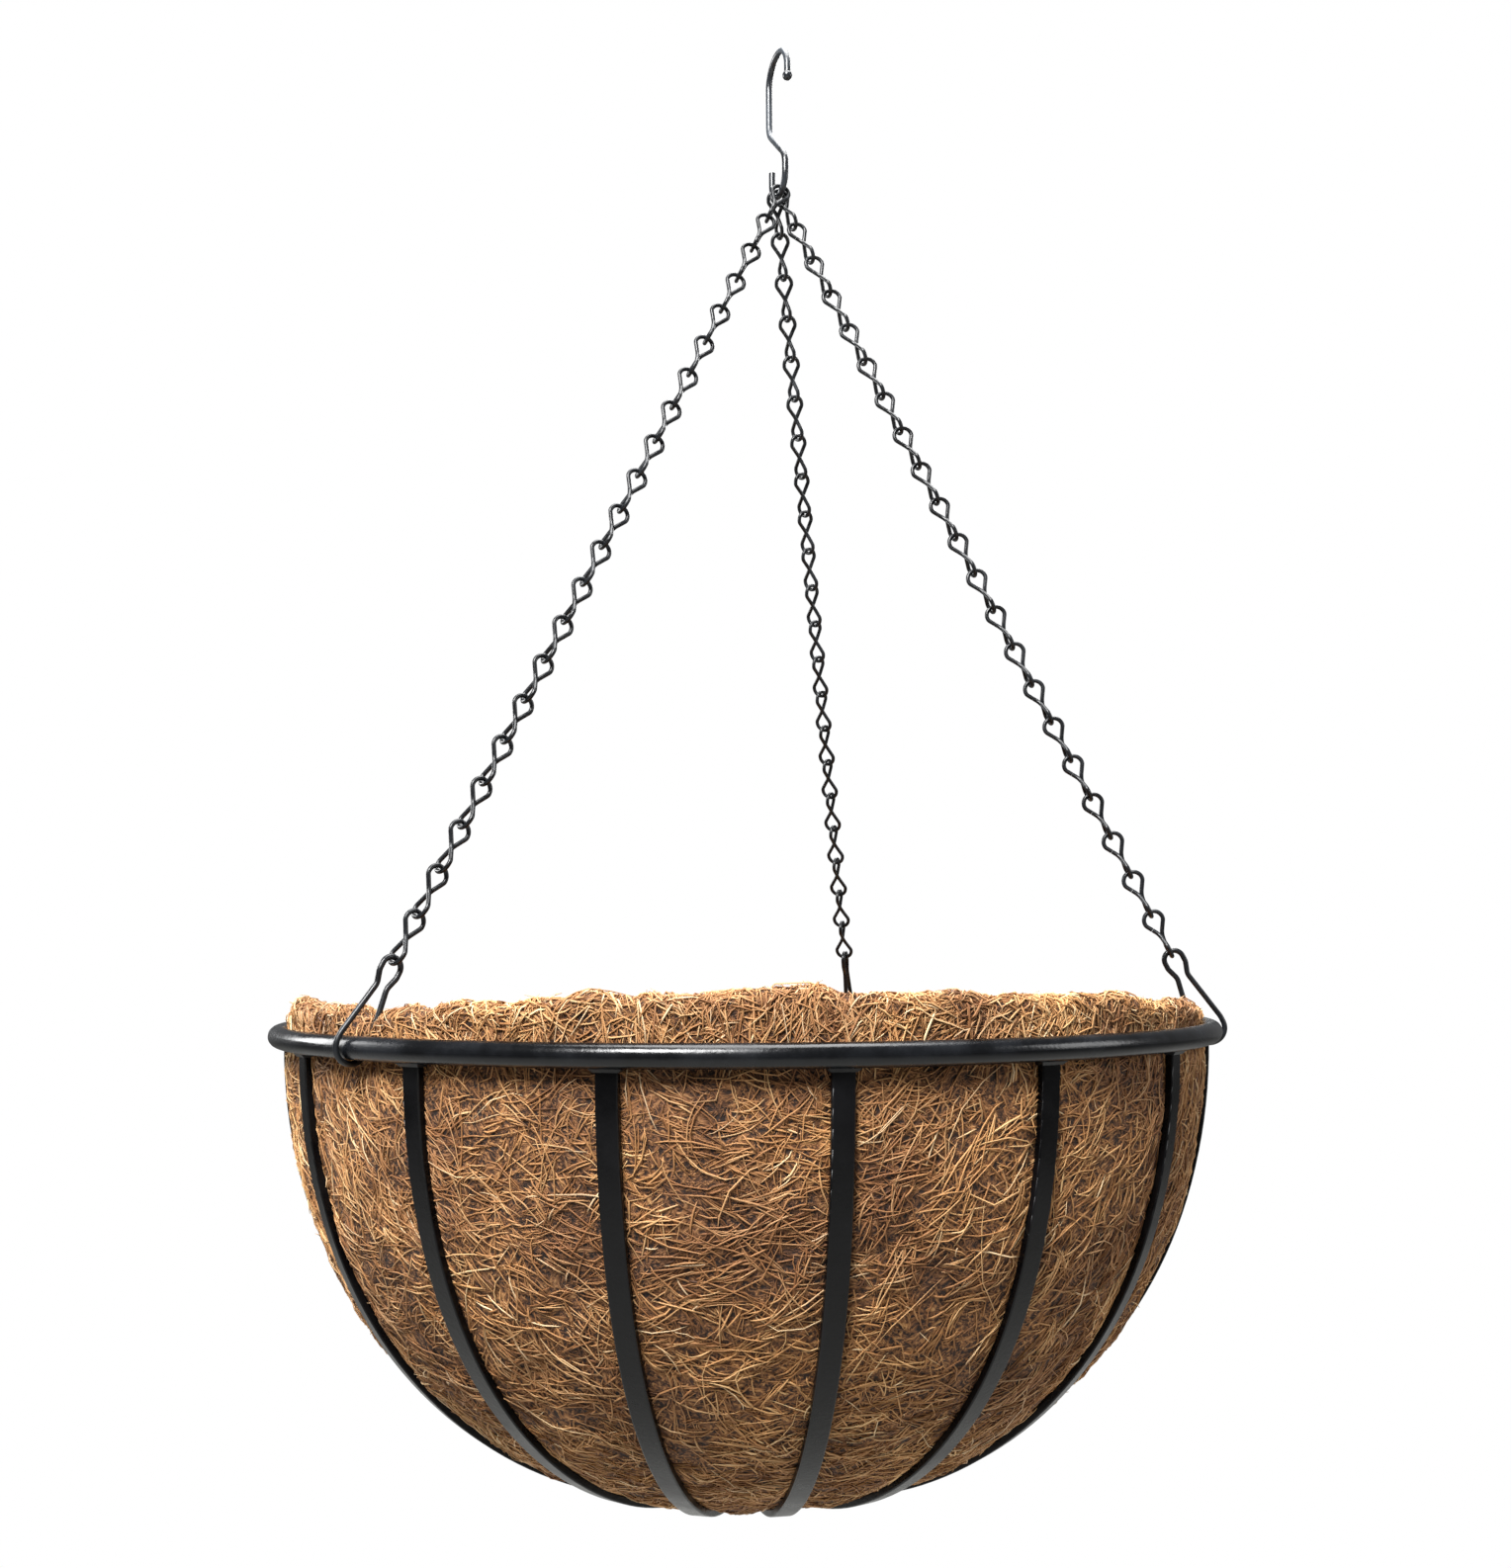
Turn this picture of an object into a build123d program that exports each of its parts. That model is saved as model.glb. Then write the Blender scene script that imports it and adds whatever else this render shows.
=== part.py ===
from build123d import *
import os
from collections import namedtuple
from math import acos, atan2, cos, degrees, pi, radians, sin, tan

# Hanging basket: an S-bent hook, three jack chains with wire clips, a welded steel frame
# and a coconut-fibre liner. Millimetres, +Z up, -Y is the front.
# The origin is the hook's seat: the inside top of its upper mouth, where it bears on a bracket.

# Rim hoop
RIM_DIAMETER = 406.0      # outside
RIM_TUBE = 8.5            # tube diameter
RIM_DROP = 385.5          # from the wire centre of the hook's lower bend down to the rim's centre plane
BASKET_OFFSET = 17.0      # the hook stands this far to +X of the basket's own axis

# Ribs, flat bar
RIB_COUNT = 16
RIB_WIDTH = 8.0
RIB_THICK = 3.0
RIB_EDGE = 0.6            # rounding of the bar's long edges
RIB_TOP_DROP = 1.7        # the coped rib's top corner, below the tube's centre plane
RIB_TURN = 9.2            # first rib's angle from the front, towards +X, degrees
BOWL_DEPTH = 188.0        # rim's centre plane to the rib's centre line under the bowl
SIDE_ANGLE = 18.0         # part of the quarter turn bent to the large side radius, degrees
HAUNCH_ANGLE = 48.0       # part bent to the middle radius, degrees

# Weld beads under the rim
BEAD_HEIGHT = 3.6
BEAD_TOP_DROP = 1.9       # bead's top before the cope, below the tube's centre plane
BEAD_SPREAD = 1.7         # bead stands out beside the rib
BEAD_OUT = 1.6            # bead stands out in front of the rib
BEAD_EDGE = 1.2           # slope along the bead's lower edge

# Base disc
DISC_DIAMETER = 76.0
DISC_THICK = 2.0
DISC_EDGE = 0.7
DISC_LAP = 2.0            # the ribs lie flat from this far inside the disc's edge
FOOT_GAP = 24.0           # rib ends stop this far from the bowl's axis

# Coir liner
LINER_THICK = 9.0
LINER_CLEAR = 0.3         # between the liner and the ribs
LINER_RISE = 11.0         # above the rim's centre plane
LINER_LIP = 3.5           # rounding of the top edge
NOTCH_WIDTH = 13.0        # notch in the top edge at each clip
NOTCH_DEPTH = 8.0
NOTCH_CORNER = 3.25       # rounding of the notch's lower corners
GROOVE_SIDE = 1.9         # between each side of a clip's wire and the groove it presses
GROOVE_CLEAR = 0.9        # between the wire and the groove's floor
GROOVE_DROP = 48.0        # groove's length below the rim's centre plane

# Hook
HOOK_WIRE = 3.0
HOOK_HEIGHT = 73.0        # outside, top to bottom
HOOK_MOUTH = 21.0         # inside width of the upper mouth
HOOK_BEND = 14.0          # inside width of the lower bend
HOOK_TURN = 20.0          # the hook's plane turns this far from front-to-back, degrees
HOOK_BALL = 4.6           # ball on the upper free end
MOUTH_LIP = 5.0           # straight wire below the mouth's arch
SHANK_STRAIGHT = 22.5     # straight shank below the mouth's arch
BEND_LIP = 6.4            # straight free end above the lower bend
BEND_LEAD = 8.0           # straight wire above the lower bend on the shank's side
SHANK_RADIUS = 10.0

# Chain links, figure-of-eight wire
LINK_WIRE = 1.8
LINK_PITCH = 19.0         # wanted pitch: a chain gets the whole number of links nearest to it
EYE_INSIDE = 6.2          # inside width of an eye
EYE_STRAIGHT = 0.7        # an eye's sides are this much longer than its round end needs
SIDE_ROUND = 2.4
WAIST_CUT = 0.14          # the waist's rounding moves the strands this much further apart
WAIST_ROUND = 6.0
WIRE_BUTT = 0.15          # gap where the bent wire's two ends meet
ROUND_SLACK = 0.1         # straight left between two quarter rounds, so that they don't meet
LINK_PLAY = 0.25          # free gap where two links hook together
HOOK_PLAY = 0.3           # free gap between the top link and the hook
SEAT_GAP = 0.6            # between neighbouring links, inside the hook's lower bend

# Rim clips
CLIP_WIRE = 2.2
CLIP_REACH = 36.0         # tube centre to the wire centre at the top of the eye
CLIP_EYE_INSIDE = 5.8     # inside width of the eye
CLIP_EYE_STRAIGHT = 2.5   # the eye's sides are this much longer than its round end needs
CLIP_EYE_FLARE = 3.0      # radius where the eye's sides turn in to the neck
CLIP_NECK_GAP = 2.4       # between the two strands at the neck
CLIP_NECK_DROP = 11.5     # top of the eye to the neck
CLIP_NECK_ROUND = 5.0
CLIP_SIDE_CLEAR = 1.05    # between wire and tube at the sides
CLIP_BASE_CLEAR = 0.3     # between wire and tube underneath
CLIP_SHOULDER = 3.0       # where the legs turn down beside the tube
CLIP_SHOULDER_ROUND = 8.0

# Chains: name, angle of the clip from the front towards +X, and seat on the hook's lower bend
Chain = namedtuple("Chain", "name azimuth seat")
CHAINS = [
    Chain("left", -45.0, 1),
    Chain("right", 79.5, 0),
    Chain("back", 163.0, -1),
]
RUNS = ["upper", "middle", "lower"]

TOUCH = 0.01              # points nearer than this are the same place

# Places that follow from the sizes above
tube_radius = RIM_TUBE / 2
rim_radius = RIM_DIAMETER / 2 - tube_radius
rib_radius = rim_radius - tube_radius + RIB_THICK / 2  # its inner face is flush with the tube's inside
foot_radius = DISC_DIAMETER / 2 - DISC_LAP
arch_radius = (HOOK_MOUTH + HOOK_WIRE) / 2
bend_radius = (HOOK_BEND + HOOK_WIRE) / 2
arch_z = -HOOK_MOUTH / 2
bend_z = HOOK_WIRE - HOOK_HEIGHT + HOOK_WIRE / 2 + bend_radius
rim_z = bend_z - bend_radius - RIM_DROP
basket_axis = Vector(-BASKET_OFFSET, 0, rim_z)
hook_direction = Vector(sin(radians(HOOK_TURN)), -cos(radians(HOOK_TURN)), 0)
eye_half = (EYE_INSIDE + LINK_WIRE) / 2
clip_eye_half = (CLIP_EYE_INSIDE + CLIP_WIRE) / 2
clip_side = tube_radius + CLIP_SIDE_CLEAR + CLIP_WIRE / 2

# How far the wire centres pass each other where two pieces hook together
over_hook = (HOOK_WIRE + LINK_WIRE) / 2 + HOOK_PLAY
over_link = LINK_WIRE + LINK_PLAY
over_clip = (CLIP_WIRE + LINK_WIRE) / 2 + LINK_PLAY

in_basket = Pos(basket_axis)


def wire_along(path, diameter):
    """Round wire whose centre line is the given path."""
    section = Plane(origin=path @ 0, z_dir=path % 0) * Circle(diameter / 2)
    return sweep(section, path=path)


def around(azimuth):
    """Turns a piece made at the +X side of the basket to an angle counted from the front."""
    return in_basket * Rot(0, 0, azimuth - 90)


# ---- frame ----


def bowl_arcs(inset):
    """The bowl's side in the XZ plane, from the rim plane to the flat foot.

    Three tangent arcs make the quarter turn. The side radius is an ellipse's, depth squared
    over half width, and the other two follow from reaching the foot's radius and the depth.
    inset moves the whole curve in from the rib's centre line.
    """
    width = rib_radius - foot_radius
    side, low = radians(SIDE_ANGLE), radians(SIDE_ANGLE + HAUNCH_ANGLE)
    r1 = BOWL_DEPTH**2 / width
    across = width - r1 * (1 - cos(side))
    down = BOWL_DEPTH - r1 * sin(side)
    a, b = cos(side) - cos(low), cos(low)
    c, d = sin(low) - sin(side), 1 - sin(low)
    r2 = (across * d - b * down) / (a * d - b * c)
    r3 = (a * down - c * across) / (a * d - b * c)
    edges = []
    centre = Vector(rib_radius - r1, 0, 0)
    start = 0.0
    for radius, end in ((r1, side), (r2, low), (r3, pi / 2)):
        if edges:
            centre = joint - radius * Vector(cos(start), 0, -sin(start))
        points = [
            centre + (radius - inset) * Vector(cos(t), 0, -sin(t))
            for t in (start, (start + end) / 2, end)
        ]
        edges.append(ThreePointArc(*points))
        joint = centre + radius * Vector(cos(end), 0, -sin(end))
        start = end
    return edges


def rib_outline():
    """Side view of one rib: the bowl's curve with the bar's thickness, and a flat foot."""
    half = RIB_THICK / 2
    outer, inner = bowl_arcs(-half), bowl_arcs(half)
    foot_out = outer[-1] @ 1
    foot_in = inner[-1] @ 1
    end_out = Vector(FOOT_GAP, 0, foot_out.Z)
    end_in = Vector(FOOT_GAP, 0, foot_in.Z)
    foot = [Line(foot_out, end_out), Line(end_out, end_in), Line(end_in, foot_in)]
    close = Line(inner[0] @ 0, outer[0] @ 0)
    outline = make_face(Wire(outer + foot + inner + [close]))
    above_top = Pos(rib_radius, tube_radius - RIB_TOP_DROP) * Rectangle(RIM_TUBE, RIM_TUBE)
    return outline - Plane.XZ * above_top


def make_rim():
    return in_basket * Torus(rim_radius, tube_radius)


def make_rib():
    """One rib at the +X side, coped to the underside of the tube."""
    bar = extrude(rib_outline(), RIB_WIDTH / 2, both=True)
    long_edges = [
        e for e in bar.edges()
        if abs(abs(e.center().Y) - RIB_WIDTH / 2) < TOUCH and e.length > RIB_WIDTH
    ]
    bar = fillet(long_edges, RIB_EDGE)
    return bar - Torus(rim_radius, tube_radius)


def make_bead(rib):
    """The weld bead round a rib's top, under the tube. The side towards the liner is flush."""
    inner = rib_radius - RIB_THICK / 2
    outer = rib_radius + RIB_THICK / 2 + BEAD_OUT
    block = Pos((inner + outer) / 2, 0, -BEAD_TOP_DROP - BEAD_HEIGHT / 2) * Box(
        outer - inner, RIB_WIDTH + 2 * BEAD_SPREAD, BEAD_HEIGHT
    )
    low = block.faces().sort_by(Axis.Z)[0]
    block = chamfer([e for e in low.edges() if e.center().X > inner + TOUCH], BEAD_EDGE)
    return block - Torus(rim_radius, tube_radius) - rib


def make_base_disc():
    top = -BOWL_DEPTH - RIB_THICK / 2
    disc = Pos(0, 0, top - DISC_THICK / 2) * Cylinder(DISC_DIAMETER / 2, DISC_THICK)
    return in_basket * fillet(disc.edges(), DISC_EDGE)


# ---- liner ----


def make_liner():
    """A bowl of even thickness inside the ribs, notched and grooved where each clip presses."""
    outset = RIB_THICK / 2 + LINER_CLEAR
    outer, inner = bowl_arcs(outset), bowl_arcs(outset + LINER_THICK)
    top_out = Vector((outer[0] @ 0).X, 0, LINER_RISE)
    top_in = Vector((inner[0] @ 0).X, 0, LINER_RISE)
    base_out = Vector(0, 0, (outer[-1] @ 1).Z)
    base_in = Vector(0, 0, (inner[-1] @ 1).Z)
    outline = make_face(Wire(
        outer + inner + [
            Line(outer[0] @ 0, top_out), Line(top_out, top_in), Line(top_in, inner[0] @ 0),
            Line(outer[-1] @ 1, base_out), Line(base_out, base_in), Line(base_in, inner[-1] @ 1),
        ]
    ))
    bowl = revolve(outline, Axis.Z)
    lip = [e for e in bowl.edges() if abs(e.center().Z - LINER_RISE) < TOUCH and e.length > rim_radius]
    bowl = in_basket * fillet(lip, LINER_LIP)
    wall_in = top_in.X - LINER_THICK
    notch = Pos((wall_in + rim_radius) / 2, 0, LINER_RISE) * Box(
        rim_radius - wall_in, NOTCH_WIDTH, 2 * NOTCH_DEPTH
    )
    notch = fillet(notch.edges().filter_by(Axis.X), NOTCH_CORNER)
    for chain in CHAINS:
        groove_in = rim_radius - clip_reach_in(chain) - GROOVE_CLEAR
        groove = Pos((groove_in + rim_radius) / 2, 0, (LINER_RISE - GROOVE_DROP) / 2) * Box(
            rim_radius - groove_in, CLIP_WIRE + 2 * GROOVE_SIDE, LINER_RISE + GROOVE_DROP
        )
        bowl -= around(chain.azimuth) * notch
        bowl -= around(chain.azimuth) * groove
    return bowl


def clip_reach_in(chain):
    """How far the leaning clip reaches in from the tube's centre line, at the notch's floor."""
    lean = acos(chain_route(chain).up.Z)
    reach = clip_side + CLIP_WIRE / 2
    return reach / cos(lean) + (LINER_RISE - NOTCH_DEPTH) * tan(lean)


# ---- hook ----


def make_hook():
    """S-bent wire: upper mouth, shank, lower bend, and a ball on the upper free end."""
    mouth_end = (arch_radius, 0, arch_z - MOUTH_LIP)
    shank_corner = (-arch_radius, 0, arch_z - SHANK_STRAIGHT)
    lead_corner = (bend_radius, 0, bend_z + BEND_LEAD)
    path = Wire([
        Line(mouth_end, (arch_radius, 0, arch_z)),
        ThreePointArc(
            (arch_radius, 0, arch_z), (0, 0, arch_z + arch_radius), (-arch_radius, 0, arch_z)
        ),
        *FilletPolyline(
            (-arch_radius, 0, arch_z), shank_corner, lead_corner, (bend_radius, 0, bend_z),
            radius=SHANK_RADIUS,
        ).edges(),
        ThreePointArc(
            (bend_radius, 0, bend_z), (0, 0, bend_z - bend_radius), (-bend_radius, 0, bend_z)
        ),
        Line((-bend_radius, 0, bend_z), (-bend_radius, 0, bend_z + BEND_LIP)),
    ])
    hook = wire_along(path, HOOK_WIRE) + Pos(*mouth_end) * Sphere(HOOK_BALL / 2)
    return Rot(0, 0, HOOK_TURN - 90) * hook


# ---- chains ----


Route = namedtuple("Route", "clip_point up out across links pitch roll")


def chain_route(chain):
    """Where one chain runs, and the directions and number of its links.

    up points from the clip to the hook, out is square to it and away from the basket, and
    across is the line the clip and the links turn about. roll is the turn of the top link
    about the chain, so that its eye is square to the hook's wire.
    """
    seat_angle = chain.seat * (LINK_WIRE + SEAT_GAP) / (bend_radius - over_hook)
    wire_point = (
        hook_direction * bend_radius * sin(seat_angle)
        + Vector(0, 0, bend_z - bend_radius * cos(seat_angle))
    )
    wire_run = hook_direction * cos(seat_angle) + Vector(0, 0, sin(seat_angle))
    outward = Vector(sin(radians(chain.azimuth)), -cos(radians(chain.azimuth)), 0)
    clip_point = basket_axis + outward * rim_radius
    reach = (wire_point - clip_point).length
    up = (wire_point - clip_point).normalized()
    across = up.cross(outward).normalized()
    out = across.cross(up)
    span = reach - CLIP_REACH + over_hook - over_link + over_clip
    links = round(span / LINK_PITCH)
    roll = degrees(atan2(-wire_run.dot(out), wire_run.dot(across)))
    roll = (roll + 90) % 180 - 90
    return Route(clip_point, up, out, across, links, span / links, roll)


def make_link(pitch):
    """One figure-of-eight link, centred, its upper eye in the XZ plane and its lower in YZ.

    Two strands pass the waist side by side while they make a quarter turn. The wire's two
    ends butt on one leg of the upper eye.
    """
    half = (pitch + over_link) / 2
    shoulder = half - eye_half - EYE_STRAIGHT
    beside = (LINK_WIRE / 2 - WAIST_CUT) * cos(radians(45))
    left = Vector(-eye_half, 0, shoulder)
    waist = Vector(-beside, -beside, 0)
    along = (left - waist).normalized()
    butt = (left + waist) * 0.5
    points = [
        butt + along * WIRE_BUTT,
        left,
        (-eye_half, 0, half),
        (eye_half, 0, half),
        (eye_half, 0, shoulder),
        (beside, beside, 0),
        (0, eye_half, -shoulder),
        (0, eye_half, -half),
        (0, -eye_half, -half),
        (0, -eye_half, -shoulder),
        waist,
        butt,
    ]
    eye_round = eye_half - ROUND_SLACK
    eye = [SIDE_ROUND, eye_round, eye_round, SIDE_ROUND]
    path = FilletPolyline(*points, radius=eye + [WAIST_ROUND] + eye + [WAIST_ROUND])
    return wire_along(path, LINK_WIRE)


def make_clip():
    """Wire clip in the XZ plane: an eye, a neck, and legs that close round the tube."""
    base = -tube_radius - CLIP_BASE_CLEAR - CLIP_WIRE / 2
    neck = CLIP_REACH - CLIP_NECK_DROP
    neck_half = (CLIP_NECK_GAP + CLIP_WIRE) / 2
    eye_low = CLIP_REACH - clip_eye_half - CLIP_EYE_STRAIGHT
    leg_top = Vector(-neck_half, 0, neck)
    leg_low = Vector(-clip_side, 0, CLIP_SHOULDER)
    along = (leg_top - leg_low).normalized()
    butt = (leg_top + leg_low) * 0.5
    points = [
        butt + along * WIRE_BUTT,
        leg_top,
        (-clip_eye_half, 0, eye_low),
        (-clip_eye_half, 0, CLIP_REACH),
        (clip_eye_half, 0, CLIP_REACH),
        (clip_eye_half, 0, eye_low),
        (neck_half, 0, neck),
        (clip_side, 0, CLIP_SHOULDER),
        (clip_side, 0, base),
        (-clip_side, 0, base),
        leg_low,
        butt,
    ]
    eye_round, loop_round = clip_eye_half - ROUND_SLACK, clip_side - ROUND_SLACK
    radii = [
        CLIP_NECK_ROUND, CLIP_EYE_FLARE, eye_round, eye_round, CLIP_EYE_FLARE, CLIP_NECK_ROUND,
        CLIP_SHOULDER_ROUND, loop_round, loop_round, CLIP_SHOULDER_ROUND,
    ]
    return wire_along(FilletPolyline(*points, radius=radii), CLIP_WIRE)


def run_links(links):
    """Splits a chain's links, counted from the hook, over the three runs."""
    cuts = [round(i * links / len(RUNS)) for i in range(len(RUNS) + 1)]
    return [range(cuts[i], cuts[i + 1]) for i in range(len(RUNS))]


def link_height(route, index):
    """Distance of a link's middle from the clip point, along the chain."""
    lowest = CLIP_REACH - over_clip
    from_clip = route.links - 1 - index
    return lowest + from_clip * route.pitch + (route.pitch + over_link) / 2


def place_link(link, route, index):
    turn = route.roll * (1 - index / (route.links - 1))
    x_dir = route.out.rotate(Axis((0, 0, 0), route.up), turn)
    origin = route.clip_point + route.up * link_height(route, index)
    return Plane(origin=origin, x_dir=x_dir, z_dir=route.up).location * link


# ---- all nodes ----


def make_nodes():
    rib = make_rib()
    bead = make_bead(rib)
    angles = [RIB_TURN + i * 360 / RIB_COUNT for i in range(RIB_COUNT)]
    nodes = {
        "top_hook": make_hook(),
        "rim_hoop": make_rim(),
        "rim_welds": Compound([around(a) * bead for a in angles]),
        "base_disc": make_base_disc(),
        "coir_liner": make_liner(),
    }
    for i, angle in enumerate(angles, 1):
        nodes[f"rib_{i:02d}"] = around(angle) * rib
    for chain in CHAINS:
        route = chain_route(chain)
        clip_plane = Plane(origin=route.clip_point, x_dir=route.out, z_dir=route.up)
        nodes[f"clip_{chain.name}"] = clip_plane.location * make_clip()
        link = make_link(route.pitch)
        for run, indices in zip(RUNS, run_links(route.links)):
            placed = [place_link(link, route, i) for i in indices]
            nodes[f"chain_{chain.name}_{run}_links"] = Compound(placed)
        print(f"chain {chain.name}: {route.links} links at {route.pitch:.2f} mm pitch")
    return nodes


if __name__ == "__main__":
    os.makedirs("parts", exist_ok=True)
    for name, shape in make_nodes().items():
        export_step(shape, f"parts/{name}.step")
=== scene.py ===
from math import cos, pi, radians, sin

import bpy
import numpy as np
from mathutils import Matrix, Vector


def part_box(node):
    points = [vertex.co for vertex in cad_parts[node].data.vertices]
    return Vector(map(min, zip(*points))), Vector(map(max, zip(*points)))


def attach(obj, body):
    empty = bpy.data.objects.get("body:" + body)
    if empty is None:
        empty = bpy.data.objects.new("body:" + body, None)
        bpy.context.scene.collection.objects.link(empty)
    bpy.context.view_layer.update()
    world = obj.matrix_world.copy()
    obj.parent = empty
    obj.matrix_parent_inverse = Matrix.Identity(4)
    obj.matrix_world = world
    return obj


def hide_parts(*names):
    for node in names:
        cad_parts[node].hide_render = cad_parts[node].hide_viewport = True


# Hanging basket: the steel frame, the chains, the clips and the hook are the frame's own
# nodes and get their finishes here. The coconut-fibre liner is made here: a felted bowl
# with loose fibres laid over its outside, its top edge and its inside. Metres, +Z up,
# -Y is the front.

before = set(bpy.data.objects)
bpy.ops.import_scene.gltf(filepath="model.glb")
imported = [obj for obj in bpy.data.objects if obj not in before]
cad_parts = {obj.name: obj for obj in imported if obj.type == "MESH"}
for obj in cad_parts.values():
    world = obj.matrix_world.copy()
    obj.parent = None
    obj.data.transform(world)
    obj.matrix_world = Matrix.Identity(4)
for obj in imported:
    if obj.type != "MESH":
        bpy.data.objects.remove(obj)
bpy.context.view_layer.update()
draw = np.random.default_rng(41)

MM = 0.001

# ---- sizes ----

RIB_COUNT = 16
RIB_TURN = radians(9.2)        # first rib's angle from the front, towards +X
FOOT_RADIUS = 36 * MM          # where the bowl's side ends in the flat foot
SIDE_ANGLE = radians(18)       # part of the quarter turn bent to the large side radius
HAUNCH_ANGLE = radians(48)     # part bent to the middle radius
SKIN = 1.8 * MM                # liner's outside, in from the ribs' middle line
LINER_THICK = 9 * MM
RIB_WIDTH = 8 * MM
NOTCH_WIDTH = 13 * MM
NOTCH_DEPTH = 8 * MM
CLIPS = {"left": radians(-45), "right": radians(79.5), "back": radians(163)}

# the torn top edge
EDGE_DROP = 1.5 * MM           # its even height, below the plain liner's top
FRONT_RISE = 8.5 * MM
BACK_SAG = 8.5 * MM
NOTCH_PULL = 2 * MM            # the clip's wire pulls the fibres down this much below its notch
EDGE_BEND = 16 * MM            # the rise and fall fade out this far below the rim's middle plane

# the felt's surface
SWELL = 1.3 * MM               # stands out between the ribs
SETTLE = 0.3 * MM              # lies back everywhere, clear of the ribs
CLIP_PRESS = 2.6 * MM          # pressed in under a clip's wire
CLIP_PRESS_WIDTH = 6.5 * MM
CLIP_PRESS_LENGTH = 48 * MM    # down from the rim's middle plane

# loose fibres
SCATTER = 1.8 * MM             # between the fibres of one bundle
ROOT_DEPTH = 0.35 * MM         # a fibre's ends lie this deep in the felt

rim_low, rim_high = (np.array(c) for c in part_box("rim_hoop"))
liner_low, liner_high = (np.array(c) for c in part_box("coir_liner"))
axis_x, axis_y = (rim_low[0] + rim_high[0]) / 2, (rim_low[1] + rim_high[1]) / 2
rim_z = (rim_low[2] + rim_high[2]) / 2
tube = rim_high[2] - rim_low[2]
liner_radius = (liner_high[0] - liner_low[0]) / 2
liner_rise = liner_high[2] - rim_z
bowl_width = liner_radius + SKIN - FOOT_RADIUS
bowl_depth = rim_z - liner_low[2] + SKIN


# ---- meshes ----


def new_piece(name, points, quads, corners, material):
    """A smooth mesh from arrays: points, faces of four corners and faces of three."""
    mesh = bpy.data.meshes.new(name)
    mesh.vertices.add(len(points))
    mesh.vertices.foreach_set("co", points.astype(np.float32).ravel())
    mesh.loops.add(quads.size + corners.size)
    order = np.concatenate([quads.ravel(), corners.ravel()])
    mesh.loops.foreach_set("vertex_index", order.astype(np.int32))
    starts = np.concatenate([np.arange(0, quads.size, 4), quads.size + np.arange(0, corners.size, 3)])
    mesh.polygons.add(len(starts))
    mesh.polygons.foreach_set("loop_start", starts.astype(np.int32))
    mesh.polygons.foreach_set("use_smooth", np.ones(len(starts), dtype=bool))
    mesh.update(calc_edges=True)
    mesh.materials.append(material)
    piece = bpy.data.objects.new(name, mesh)
    bpy.context.collection.objects.link(piece)
    return piece


def grid_faces(rows, columns):
    """Corners of the faces of a grid that closes on itself across its columns."""
    row, column = np.meshgrid(np.arange(rows - 1), np.arange(columns), indexing="ij")
    after = (column + 1) % columns
    corners = [
        row * columns + column,
        (row + 1) * columns + column,
        (row + 1) * columns + after,
        row * columns + after,
    ]
    return np.stack(corners, axis=-1).reshape(-1, 4)


# ---- the bowl's section ----


def bowl_side(inset, steps=40):
    """Radius and height of the bowl's side, from the rim's plane to the middle of its foot.

    Three tangent arcs make the quarter turn. The side radius is depth squared over width,
    and the other two follow from reaching the foot's radius and the depth. inset moves the
    whole curve in from the ribs' middle line.
    """
    side, low = SIDE_ANGLE, SIDE_ANGLE + HAUNCH_ANGLE
    r1 = bowl_depth**2 / bowl_width
    across = bowl_width - r1 * (1 - cos(side))
    down = bowl_depth - r1 * sin(side)
    a, b = cos(side) - cos(low), cos(low)
    c, d = sin(low) - sin(side), 1 - sin(low)
    r2 = (across * d - b * down) / (a * d - b * c)
    r3 = (a * down - c * across) / (a * d - b * c)
    radius, height = [], []
    centre_r, centre_z = bowl_width + FOOT_RADIUS - r1, 0.0
    for bend, start, end, following in ((r1, 0, side, r2), (r2, side, low, r3), (r3, low, pi / 2, r3)):
        t = np.linspace(start, end, steps, endpoint=False)
        radius.append(centre_r + (bend - inset) * np.cos(t))
        height.append(centre_z - (bend - inset) * np.sin(t))
        centre_r += (bend - following) * cos(end)
        centre_z -= (bend - following) * sin(end)
    foot = np.linspace(1, 0, steps)
    radius.append(FOOT_RADIUS * foot)
    height.append(np.full(steps, -bowl_depth + inset))
    return np.concatenate(radius), np.concatenate(height)


def liner_section():
    """The felt's section as radius, height and length along it.

    It runs from the middle of the inside floor up the inner wall, over a half-round lip and
    down the outer wall to the middle of the underside.
    """
    out_r, out_z = bowl_side(SKIN)
    in_r, in_z = bowl_side(SKIN + LINER_THICK)
    t = np.linspace(pi, 0, 24)
    lip_r = (out_r[0] + in_r[0]) / 2 + LINER_THICK / 2 * np.cos(t)
    lip_z = liner_rise - LINER_THICK / 2 + LINER_THICK / 2 * np.sin(t)
    r = np.concatenate([in_r[::-1], lip_r, out_r])
    z = np.concatenate([in_z[::-1], lip_z, out_z])
    along = np.concatenate([[0], np.cumsum(np.hypot(np.diff(r), np.diff(z)))])
    return r, z, along


section_r, section_z, section_s = liner_section()
# the way out of the felt is the section's run turned a quarter
section_nr = -np.gradient(section_z, section_s)
section_nz = np.gradient(section_r, section_s)
lip_s = section_s[np.argmax(section_z)]
whole_s = section_s[-1]


def waves(theta, s, turns, lengths, seed):
    """Smooth noise, -1 to 1: a sum of waves, each a whole number of times round the bowl."""
    rng = np.random.default_rng(seed)
    total = np.zeros(np.broadcast(theta, s).shape)
    for _ in range(9):
        around = rng.integers(-turns, turns + 1)
        down = rng.uniform(0.3, 1) * 2 * pi / lengths * rng.choice([-1, 1])
        total += np.sin(around * theta + down * s + rng.uniform(0, 2 * pi))
    return total / 4.5


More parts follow.
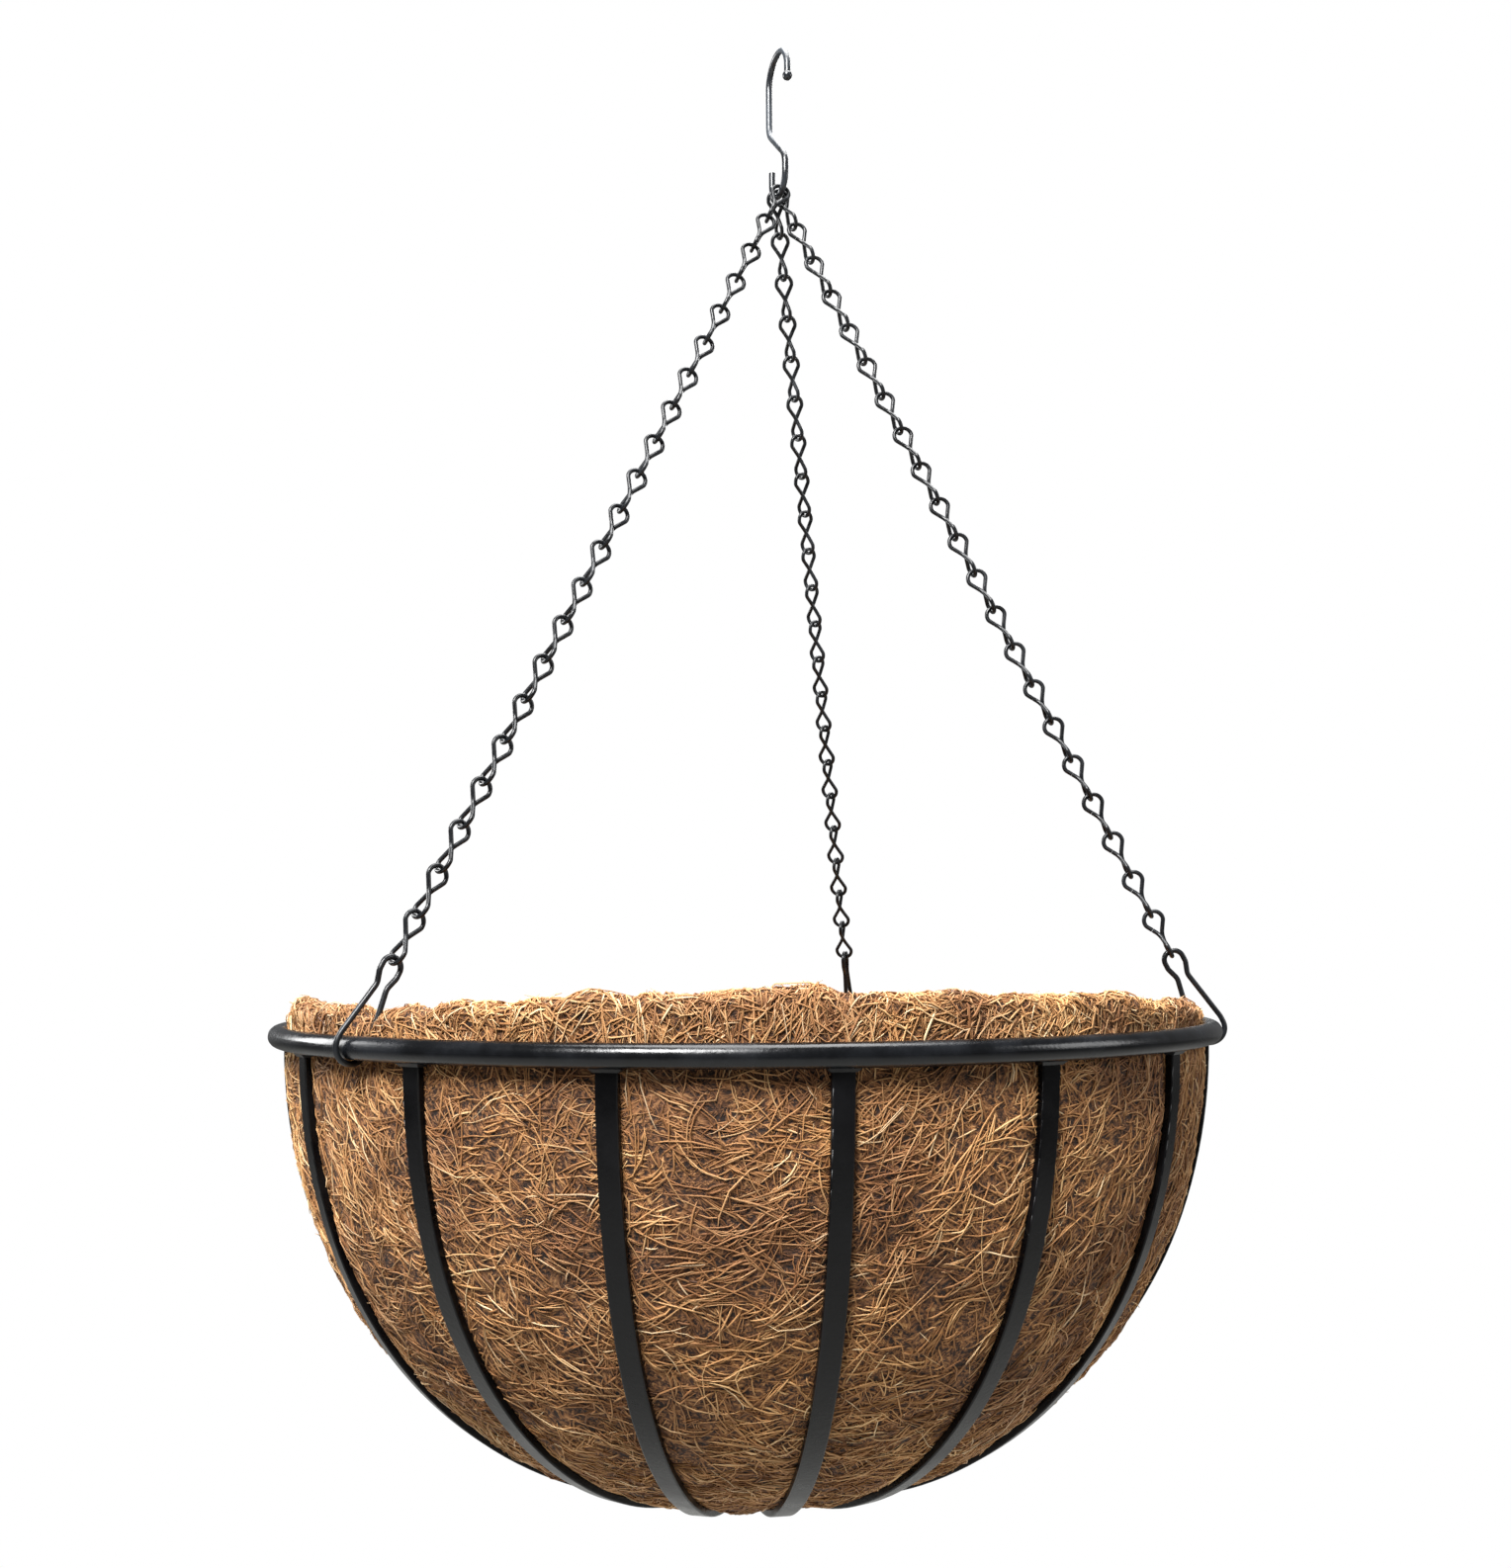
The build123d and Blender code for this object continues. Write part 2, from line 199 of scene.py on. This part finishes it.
def near(angle, middle, width, power=2):
    """1 at an angle, falling to 0 as a bell this many radians wide, flatter for a higher power."""
    gap = (angle - middle + pi) % (2 * pi) - pi
    return np.exp(-(np.abs(gap / width) ** power))


def edge_rise(theta):
    """How much the torn top edge stands above or below its even height.

    It stands highest along the front, with a tuft a little right of the middle, sags along
    the back and is pushed down where each clip's wire crosses it.
    """
    lumps = 1.5 * MM * waves(theta, 0 * theta, 24, 1, 5) + 1.1 * MM * waves(theta, 0 * theta, 90, 1, 6)
    tilt = FRONT_RISE * near(theta, radians(4), 1.0, 4) - BACK_SAG * near(theta, pi, 1.4, 4)
    tufts = 4 * MM * near(theta, radians(6), 0.11) + 3 * MM * near(theta, radians(-66), 0.12)
    notches = sum(near(theta, turn, NOTCH_WIDTH / 2 / liner_radius) for turn in CLIPS.values())
    return (lumps + tilt + tufts - EDGE_DROP) * (1 - notches) - (NOTCH_DEPTH + NOTCH_PULL) * notches


def felt(theta, s, lift=0.0):
    """A point of the felt's surface, lift above it, at an angle round and a length along.

    The section is carried round the axis. It swells in lumps, is pressed in under each rib,
    under the rim and under each clip, and its top edge rises and falls.
    """
    s = np.clip(s, 0, whole_s)
    r = np.interp(s, section_s, section_r)
    z = np.interp(s, section_s, section_z)
    nr = np.interp(s, section_s, section_nr)
    nz = np.interp(s, section_s, section_nz)
    outside = np.clip((s - lip_s) / (8 * MM), 0, 1)
    rib = np.abs((theta - RIB_TURN) * RIB_COUNT / (2 * pi) % 1 - 0.5) * 2
    from_rib = (1 - rib) * pi * r / RIB_COUNT
    pressed = np.exp(-((from_rib / (RIB_WIDTH * 0.8)) ** 2)) * outside
    under_rim = np.exp(-((z / (tube * 0.9)) ** 2)) * outside
    lumps = 0.8 * MM * waves(theta, s, 26, 40 * MM, 11) + 0.5 * MM * waves(theta, s, 70, 16 * MM, 12)
    bulge = (SWELL + lumps) * (1 - pressed) * (1 - under_rim) - SETTLE
    clips = sum(near(theta, turn, CLIP_PRESS_WIDTH / liner_radius) for turn in CLIPS.values())
    clipped = clips * np.clip(1 + z / CLIP_PRESS_LENGTH, 0, 1) * outside
    bulge = bulge - CLIP_PRESS * clipped
    inner = 0.9 * MM * waves(theta, s, 26, 40 * MM, 13) + 0.4 * MM * waves(theta, s, 70, 16 * MM, 14)
    swell = np.where(outside > 0, bulge * outside + inner * (1 - outside), inner)
    floor_fade = np.clip(r / (12 * MM), 0, 1)
    swell = swell * floor_fade + lift * (1 - 0.55 * np.maximum(pressed, under_rim))
    raised = np.clip((z + EDGE_BEND) / (liner_rise + 12 * MM), 0, 1) ** 2
    r = r + nr * swell
    z = z + nz * swell + edge_rise(theta) * raised
    return np.stack([axis_x + r * np.sin(theta), axis_y - r * np.cos(theta), rim_z + z], axis=-1)


# ---- materials ----


def linear(code):
    """Linear colour of an sRGB hex value."""
    srgb = np.array([int(code[i:i + 2], 16) for i in (1, 3, 5)]) / 255
    value = np.where(srgb > 0.04045, ((srgb + 0.055) / 1.055) ** 2.4, srgb / 12.92)
    return (*value, 1.0)


def new_material(name):
    """An empty node material with its Principled shader wired up."""
    material = bpy.data.materials.new(name)
    material.use_nodes = True
    return material, material.node_tree.nodes["Principled BSDF"]


def node(material, kind, settings=None, values=None):
    """Adds a node. settings are its properties, values its inputs: a socket is linked, else set."""
    made = material.node_tree.nodes.new(kind)
    for key, value in (settings or {}).items():
        setattr(made, key, value)
    join(material, made, values or {})
    return made


def join(material, made, values):
    for key, value in values.items():
        if isinstance(value, bpy.types.NodeSocket):
            material.node_tree.links.new(value, made.inputs[key])
        else:
            made.inputs[key].default_value = value


def ramp(material, factor, stops):
    """A colour ramp with (position, hex colour) stops."""
    made = node(material, "ShaderNodeValToRGB", values={"Fac": factor})
    elements = made.color_ramp.elements
    while len(elements) < len(stops):
        elements.new(0.5)
    for element, (position, code) in zip(elements, stops):
        element.position = position
        element.color = linear(code)
    return made.outputs["Color"]


def per_mm(size):
    """Noise scale whose features are this many millimetres, in object coordinates."""
    return 1 / (size * MM)


def powder_coated_steel(name, dark, light, roughness, shine):
    """Black polyester powder coat on steel: satin, with orange peel and dusty scuffs."""
    material, shader = new_material(name)
    place = node(material, "ShaderNodeTexCoord").outputs["Object"]
    dust = node(material, "ShaderNodeTexNoise", values={
        "Vector": place, "Scale": per_mm(22), "Detail": 6.0, "Roughness": 0.62})
    colour = ramp(material, dust.outputs["Fac"], [(0.38, dark), (0.72, light)])
    dull = node(material, "ShaderNodeMapRange", values={
        "Value": dust.outputs["Fac"], "From Min": 0.3, "From Max": 0.7,
        "To Min": roughness - 0.06, "To Max": roughness + 0.12})
    # orange peel, 0.8 mm real, drawn at 1.6 mm so that it shows
    peel = node(material, "ShaderNodeTexNoise", values={
        "Vector": place, "Scale": per_mm(1.6), "Detail": 2.0})
    bump = node(material, "ShaderNodeBump", values={
        "Height": peel.outputs["Fac"], "Strength": 0.16, "Distance": 0.4 * MM})
    join(material, shader, {
        "Base Color": colour, "Roughness": dull.outputs["Result"], "Normal": bump.outputs["Normal"]})
    shader.inputs["Specular IOR Level"].default_value = shine
    return material


def fibre_felt():
    """Latex-bonded coir felt: a mat of crossed fibres, the coir's own gold where they lie on top and
    painted shade, dark brown to near black, in the pits between them."""
    material, shader = new_material("coir_felt")
    place = node(material, "ShaderNodeTexCoord").outputs["Object"]
    warp = node(material, "ShaderNodeTexNoise", values={
        "Vector": place, "Scale": per_mm(14), "Detail": 2.0})
    bent = node(material, "ShaderNodeVectorMath", {"operation": "MULTIPLY_ADD"}, {
        0: warp.outputs["Color"], 1: (10 * MM, 10 * MM, 10 * MM), 2: place}).outputs["Vector"]
    # each layer is noise drawn out eight times along one line, 0.9 mm across, so it reads as fibres
    top = None
    turns = [(0, 0, 0), (0, 50, 0), (0, -50, 0), (0, 0, 90), (40, 0, 60)]
    for turn in np.radians(turns):
        along = node(material, "ShaderNodeMapping", {"vector_type": "TEXTURE"}, {
            "Vector": bent, "Rotation": turn, "Scale": (8, 1, 1)})
        layer = node(material, "ShaderNodeTexNoise", values={
            "Vector": along.outputs["Vector"], "Scale": per_mm(1.5),
            "Detail": 2.0, "Roughness": 0.55}).outputs["Fac"]
        if top is None:
            top = layer
        else:
            higher = node(material, "ShaderNodeMath", {"operation": "MAXIMUM"}, {0: top, 1: layer})
            top = higher.outputs["Value"]
    patch = node(material, "ShaderNodeTexNoise", values={
        "Vector": place, "Scale": per_mm(45), "Detail": 3.0})
    # colour by how high the top fibre lies: the low pits are painted shade, the tops keep the coir's own
    # gold
    fibres_and_pit_shade = ramp(material, top, [
        (0.52, "#271911"), (0.58, "#60412a"), (0.65, "#9b7049"), (0.74, "#caa06f")])
    tone = ramp(material, patch.outputs["Fac"], [(0.35, "#9c877c"), (0.65, "#fbebd2")])
    colour = node(material, "ShaderNodeMix", {"data_type": "RGBA", "blend_type": "MULTIPLY"}, {
        0: 0.8, 6: fibres_and_pit_shade, 7: tone})
    bump = node(material, "ShaderNodeBump", values={"Height": top, "Strength": 1.0, "Distance": 2.5 * MM})
    join(material, shader, {
        "Base Color": colour.outputs[2], "Normal": bump.outputs["Normal"], "Roughness": 0.92})
    return material


def coir_fibre():
    """Single coir fibres: dry, woody and golden, each its own tone, with painted shade on the deeper ones
    and painted light on the higher ones, a faint sheen along them.
    """
    material, shader = new_material("coir_fibre")
    own = node(material, "ShaderNodeAttribute", {"attribute_name": "shade"}).outputs["Fac"]
    place = node(material, "ShaderNodeTexCoord").outputs["Object"]
    patch = node(material, "ShaderNodeTexNoise", values={
        "Vector": place, "Scale": per_mm(45), "Detail": 3.0})
    colour = ramp(material, own, [
        (0.0, "#5c3f29"), (0.3, "#9b6f47"), (0.6, "#c59868"), (0.85, "#dcb98a"), (1.0, "#f0dab6")])
    tone = ramp(material, patch.outputs["Fac"], [(0.36, "#b69e90"), (0.62, "#fff5e2")])
    mixed = node(material, "ShaderNodeMix", {"data_type": "RGBA", "blend_type": "MULTIPLY"}, {
        0: 0.75, 6: colour, 7: tone})
    join(material, shader, {"Base Color": mixed.outputs[2], "Roughness": 0.62})
    shader.inputs["Specular IOR Level"].default_value = 0.35
    return material


# ---- liner ----

FELT_ROWS, FELT_COLUMNS = 190, 420


def felt_bowl(material):
    """The felt as one closed skin: the section's rows, closer at the lip, carried round.

    The first and last rows shrink to small rings, each closed by a fan of triangles.
    """
    u = np.linspace(-1, 1, FELT_ROWS)
    s = np.interp(u * (0.35 + 0.65 * u**2), [-1, 0, 1], [0.0, lip_s, whole_s])
    s[0], s[-1] = 0.5 * MM, whole_s - 0.5 * MM
    theta = np.linspace(0, 2 * pi, FELT_COLUMNS, endpoint=False)
    rings = felt(theta[None, :], s[:, None])
    points = np.concatenate([rings.reshape(-1, 3), [rings[0].mean(axis=0), rings[-1].mean(axis=0)]])
    column = np.arange(FELT_COLUMNS)
    after = (column + 1) % FELT_COLUMNS
    last = (FELT_ROWS - 1) * FELT_COLUMNS
    middle = FELT_ROWS * FELT_COLUMNS
    inside = np.stack([column, after, np.full(FELT_COLUMNS, middle)], axis=-1)
    underside = np.stack([last + after, last + column, np.full(FELT_COLUMNS, middle + 1)], axis=-1)
    quads = grid_faces(FELT_ROWS, FELT_COLUMNS)
    return new_piece("coir_felt_bowl", points, quads, np.concatenate([inside, underside]), material)


FIBRE_SIDES = 3
PIECE_FACES = 170_000       # most triangles in one piece of fibres


def fibre_paths(count, steps, band, length, lean, spread, curl, lift, bundle, stand):
    """Middle lines of loose fibres that lie on the felt, in bundles that run side by side.

    A fibre starts anywhere in its band, from one length along the section to another, sets
    off at the band's lean plus its own turn, and bends steadily as it goes. Its height over
    the felt is an arch: both ends dive into the felt, or one end stands off it. lean gives
    the slope down to the right, in radians, from the place. Returns the lines and how high
    each fibre lies, 0 to 1.
    """
    groups = count // bundle
    # more fibres start where the bowl is wide
    tries = draw.uniform(*band, groups * 4)
    wide = draw.uniform(0, liner_radius, groups * 4) < np.interp(tries, section_s, section_r)
    s = tries[wide][:groups]
    groups = len(s)
    theta = draw.uniform(0, 2 * pi, groups)
    slope = lean(theta, s) + draw.normal(0, spread, groups) + pi * draw.integers(0, 2, groups)
    bend = draw.normal(0, curl, groups)
    s, theta, slope, bend = (np.repeat(v, bundle) for v in (s, theta, slope, bend))
    n = len(s)
    s = s + draw.normal(0, SCATTER, n)
    theta = theta + draw.normal(0, SCATTER, n) / local_radius(s)
    slope = slope + draw.normal(0, 0.16, n)
    bend = bend + draw.normal(0, 10, n)
    high = draw.uniform(0, 1, n)
    step = length * draw.lognormal(0, 0.42, n) / steps
    stations = []
    for i in range(steps + 1):
        part = i / steps
        arch = (1 - stand) * np.sin(pi * part) + stand * part**1.5
        stations.append(felt(theta, s, lift * (0.2 + 0.8 * high) * arch - ROOT_DEPTH * (1 - arch)))
        theta = theta + np.cos(slope) * step / local_radius(s)
        s = s + np.sin(slope) * step
        slope = slope + bend * step + draw.normal(0, 0.10, n)
    return np.stack(stations, axis=1), high


def local_radius(s):
    """The section's radius at a length along it, never so small that a step spins round."""
    return np.maximum(np.interp(s, section_s, section_r), 8 * MM)


def fibres(name, paths, thickness, shade, material):
    """Tapered three-sided tubes along the paths, in pieces of a few thousand each.

    Across each path two square directions come from its run and the way out of the bowl, a
    ring of three points is set round each station, and a triangle closes each end.
    """
    run = np.gradient(paths, axis=1)
    run /= np.linalg.norm(run, axis=2, keepdims=True) + 1e-9
    away = paths - np.array([axis_x, axis_y, rim_z])
    side = np.cross(run, away)
    side /= np.linalg.norm(side, axis=2, keepdims=True) + 1e-9
    other = np.cross(side, run)
    stations = paths.shape[1]
    taper = np.sin(np.linspace(0.25, pi - 0.25, stations)) ** 0.5
    turn = np.arange(FIBRE_SIDES) * 2 * pi / FIBRE_SIDES
    across = (
        np.cos(turn)[:, None] * side[:, :, None, :] + np.sin(turn)[:, None] * other[:, :, None, :]
    )
    points = paths[:, :, None, :] + thickness[:, None, None, None] / 2 * taper[:, None, None] * across
    step = stations * FIBRE_SIDES
    quads = grid_faces(stations, FIBRE_SIDES)
    ends = np.array([[0, 1, 2], [step - 1, step - 2, step - 3]])
    made = []
    share = PIECE_FACES // (2 * len(quads) + 2)
    for start in range(0, len(paths), share):
        some = points[start:start + share]
        first = step * np.arange(len(some))[:, None, None]
        piece = new_piece(
            f"{name}_{len(made) + 1:02d}", some.reshape(-1, 3),
            (quads + first).reshape(-1, 4), (ends + first).reshape(-1, 3), material,
        )
        own = piece.data.attributes.new("shade", "FLOAT", "POINT")
        tone = np.repeat(shade[start:start + share], step)
        own.data.foreach_set("value", tone.astype(np.float32))
        made.append(piece)
    return made


def outside_lean(theta, s):
    """Fibres droop towards the front and the back of the bowl, and wander elsewhere."""
    return -0.75 * np.sin(2 * theta) + 0.5 * waves(theta, s, 9, 90 * MM, 21)


def any_lean(theta, s):
    return 2.2 * waves(theta, s, 12, 60 * MM, 22)


def lay_fibres(material):
    """All the loose fibres: a deep layer, a combed one and a top one outside, then the lip,
    its stray hairs and the inside."""
    outer = (lip_s + 4 * MM, whole_s)
    lip = (lip_s - 26 * MM, lip_s + 13 * MM)
    inner = (0.0, lip_s - 20 * MM)
    layers = [
        # name, count, steps, band, length, lean, spread, curl, lift, bundle, stand, thickness, tone, vary
        # the layers' tones rise with how high they lie: the deep layer is painted darker as shade under
        # the others, the standing hairs and strays palest as painted light
        ("coir_deep", 13000, 3, outer, 10, any_lean, 0.9, 60, 0.5, 2, 0, 0.70, 0.34, 0.16),
        ("coir_combed", 17000, 4, outer, 15, outside_lean, 0.6, 45, 0.9, 4, 0, 0.58, 0.56, 0.18),
        ("coir_long", 1200, 6, outer, 28, outside_lean, 0.7, 30, 1.2, 2, 0, 0.52, 0.68, 0.15),
        ("coir_lip", 12500, 3, lip, 11, any_lean, 1.0, 55, 1.5, 3, 0, 0.72, 0.52, 0.22),
        ("coir_lip_long", 1400, 5, lip, 18, any_lean, 0.9, 40, 1.9, 2, 0, 0.62, 0.66, 0.18),
        ("coir_hair", 1600, 3, lip, 9, any_lean, 1.0, 70, 3.0, 2, 1, 0.45, 0.8, 0.15),
        ("coir_stray", 900, 3, outer, 9, any_lean, 1.2, 70, 2.2, 1, 1, 0.45, 0.8, 0.15),
        ("coir_inside", 5000, 3, inner, 20, any_lean, 1.0, 30, 1.1, 3, 0, 0.9, 0.5, 0.2),
    ]
    made = []
    for name, count, steps, band, length, lean, spread, curl, lift, bundle, stand, *look in layers:
        thick, tone, vary = look
        paths, high = fibre_paths(
            count, steps, band, length * MM, lean, spread, curl, lift * MM, bundle, stand
        )
        thickness = thick * MM * draw.uniform(0.7, 1.25, len(paths))
        # each fibre's colour: its layer's tone, painted lighter the higher it lies over the felt and
        # darker the deeper, painted light and shade, plus a random spread
        shade = np.clip(tone + 0.2 * (high - 0.5) + draw.normal(0, vary, len(paths)), 0, 1)
        made += fibres(name, paths, thickness, shade, material)
    return made


# ---- finishes on the frame's own nodes ----


def dress(names, material):
    for name in names:
        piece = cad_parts[name]
        for slot in piece.material_slots:
            slot.link = "DATA"
        piece.data.materials.clear()
        piece.data.materials.append(material)


names = list(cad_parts)
chains = [n for n in names if n.startswith("chain_")]
clips = [n for n in names if n.startswith("clip_")]
ribs = [n for n in names if n.startswith("rib_")]
# the tube: black, with a narrow soft highlight along its top
dress(["rim_hoop"], powder_coated_steel("powder_coated_tube", "#060709", "#17191d", 0.22, 0.34))
# the flat bars: the frame's same black coat set a deeper black than the tube's, painted shade, and nearly
# without shine, so that they read as flat strips
dress(ribs + ["base_disc"], powder_coated_steel("powder_coated_bar_painted_darker", "#040405", "#0c0c0e", 0.26, 0.2))
# the beads: duller, the coat lies uneven over the weld
dress(["rim_welds"], powder_coated_steel("coated_weld", "#060708", "#121315", 0.42, 0.3))
# the thin wires: black with small glints on the bends
dress(chains + clips, powder_coated_steel("blackened_wire", "#07080a", "#191c20", 0.3, 0.4))
# the hook: greyer and glossier, its coat is rubbed by bracket and chains
dress(["top_hook"], powder_coated_steel("coated_hook_wire", "#0d0f12", "#3a4047", 0.28, 0.6))

felt_body = felt_bowl(fibre_felt())
loose = lay_fibres(coir_fibre())
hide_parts("coir_liner")
for piece in [felt_body] + loose:
    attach(piece, "liner")

# ---- stage, light and camera ----

FLOOR_Z = -1.25
floor_mesh = bpy.data.meshes.new("studio_floor")
floor_mesh.from_pydata(
    [(-6, -6, FLOOR_Z), (6, -6, FLOOR_Z), (6, 6, FLOOR_Z), (-6, 6, FLOOR_Z)], [], [(0, 1, 2, 3)]
)
floor = bpy.data.objects.new("studio_floor", floor_mesh)
bpy.context.collection.objects.link(floor)


def seen_white(tree, shader, output):
    """Shows plain white to the camera in place of a shader, which still lights the object."""
    path = tree.nodes.new("ShaderNodeLightPath")
    mix = tree.nodes.new("ShaderNodeMixShader")
    kind = "Emission" if shader.type.startswith("BSDF") else "Background"
    white = tree.nodes.new("ShaderNode" + kind)
    white.inputs["Color"].default_value = linear("#ffffff")
    tree.links.new(path.outputs["Is Camera Ray"], mix.inputs["Fac"])
    tree.links.new(shader.outputs[0], mix.inputs[1])
    tree.links.new(white.outputs[0], mix.inputs[2])
    tree.links.new(mix.outputs["Shader"], output.inputs["Surface"])


floor_paint, floor_shader = new_material("pale_floor")
floor_shader.inputs["Base Color"].default_value = linear("#a9a9a6")
floor_shader.inputs["Roughness"].default_value = 0.8
floor_mesh.materials.append(floor_paint)
seen_white(floor_paint.node_tree, floor_shader, floor_paint.node_tree.nodes["Material Output"])


def soft_light(name, place, aim, size, power, colour="#ffffff"):
    """A square area lamp at a place, turned towards a point."""
    lamp = bpy.data.lights.new(name, "AREA")
    lamp.size = size
    lamp.energy = power
    lamp.color = linear(colour)[:3]
    holder = bpy.data.objects.new(name, lamp)
    bpy.context.collection.objects.link(holder)
    holder.location = place
    way = np.array(aim) - np.array(place)
    tilt = np.arctan2(np.hypot(way[0], way[1]), -way[2])
    holder.rotation_euler = (tilt, 0, np.arctan2(way[1], way[0]) - pi / 2)
    return holder


bowl = (axis_x, axis_y, rim_z - 0.06)
soft_light("top_light", (0.05, 0.05, 1.0), bowl, 1.0, 36)
soft_light("key_light", (-0.5, -1.2, 0.85), bowl, 0.7, 84)
soft_light("back_light", (0.3, 1.4, 0.7), bowl, 0.9, 22)
soft_light("right_light", (1.6, -0.3, 0.1), bowl, 0.7, 9)
soft_light("left_light", (-1.6, 0.7, 0.15), bowl, 0.7, 18)

world = bpy.data.worlds.new("white_studio")
bpy.context.scene.world = world
world.use_nodes = True
background = world.node_tree.nodes["Background"]
background.inputs["Color"].default_value = linear("#ffffff")
background.inputs["Strength"].default_value = 0.18
seen_white(world.node_tree, background, world.node_tree.nodes["World Output"])
bpy.context.scene.view_settings.view_transform = "Standard"

lens = bpy.data.cameras.new("front_camera")
lens.lens = 36.8
lens.sensor_fit = "VERTICAL"
lens.sensor_height = 36
camera = bpy.data.objects.new("front_camera", lens)
camera.location = (axis_x, axis_y - 0.718, rim_z + 0.033)
camera.rotation_euler = (radians(96.0), 0.005, -0.006)
bpy.context.collection.objects.link(camera)
bpy.context.scene.camera = camera
